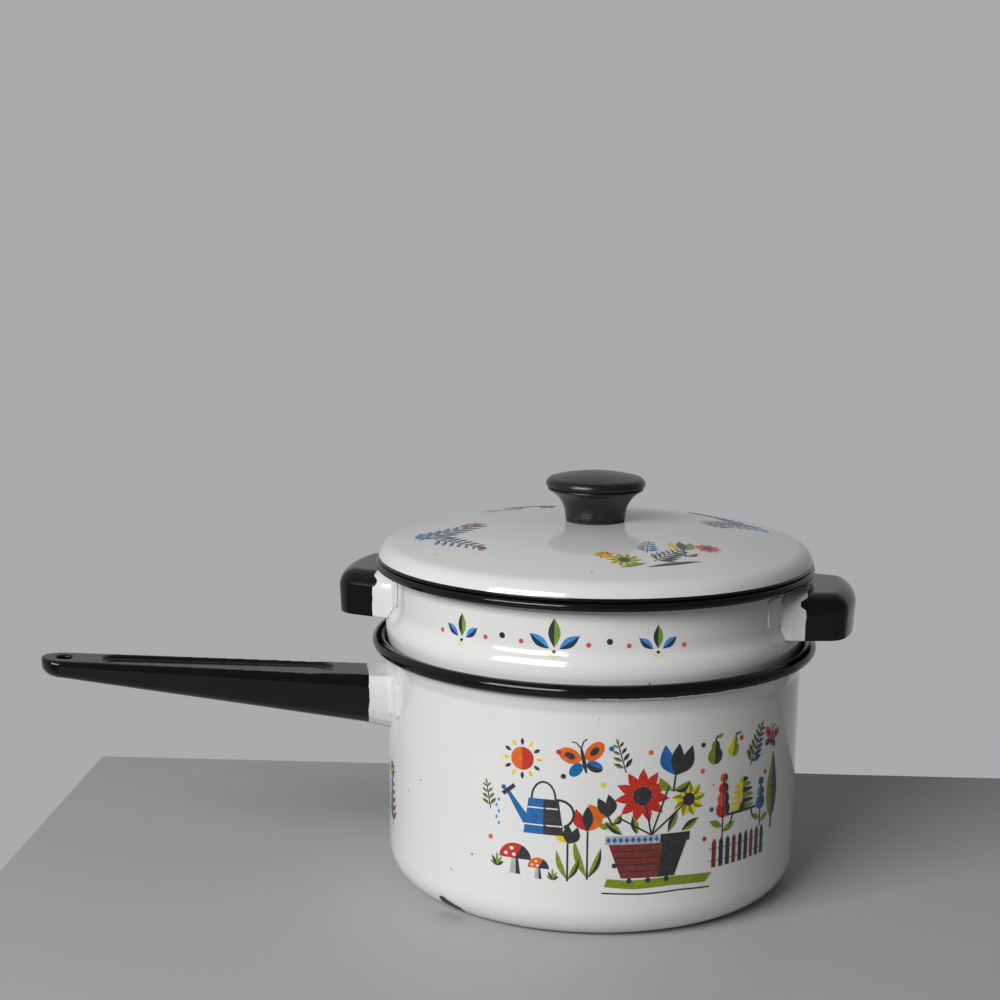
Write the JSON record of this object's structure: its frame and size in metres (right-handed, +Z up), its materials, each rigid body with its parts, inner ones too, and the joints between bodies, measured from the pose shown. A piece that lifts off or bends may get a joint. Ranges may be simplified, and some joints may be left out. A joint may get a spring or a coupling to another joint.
{
  "type": "double boiler",
  "caption": "Enamelled double boiler: a long-handled lower pan, a lift-out insert with side lugs, and a domed lid with a knob.",
  "frame": {"origin": "centre of the lower pan's flat base, on the surface it stands on", "axes": "+Z up along the axis of the pan, the insert and the lid; -X along the long handle"},
  "size_m": [0.3517, 0.1954, 0.1802],
  "materials": {
    "white_enamel": "glossy porcelain enamel on steel",
    "black_enamel": "glossy porcelain enamel on steel",
    "black_phenolic": "satin moulded phenolic",
    "fibre": "matt",
    "brass": "satin",
    "zinc_steel": "satin zinc plate"
  },
  "bodies": {
    "lower_pan": {"lower_pan_shell": "white_enamel", "lower_pan_rim": "black_enamel", "handle_bracket": "white_enamel", "handle_channel": "black_enamel", "handle_top_plate": "black_enamel"},
    "insert": {"insert_shell": "white_enamel", "insert_rim": "black_enamel", "right_lug": "black_enamel", "right_lug_root": "white_enamel", "left_lug": "black_enamel", "left_lug_root": "white_enamel"},
    "lid": {"lid_shell": "white_enamel", "lid_rim": "black_enamel", "knob": "black_phenolic", "knob_gasket": "fibre", "knob_bush": "brass", "knob_washer": "zinc_steel", "knob_screw": "zinc_steel"}
  },
  "joints": [
    {"name": "insert_lift", "type": "slide", "parent": "lower_pan", "child": "insert", "axis": [0, 0, 1], "range_m": [0, 0.11]},
    {"name": "lid_lift", "type": "slide", "parent": "insert", "child": "lid", "axis": [0, 0, 1], "range_m": [0, 0.06]}
  ]
}
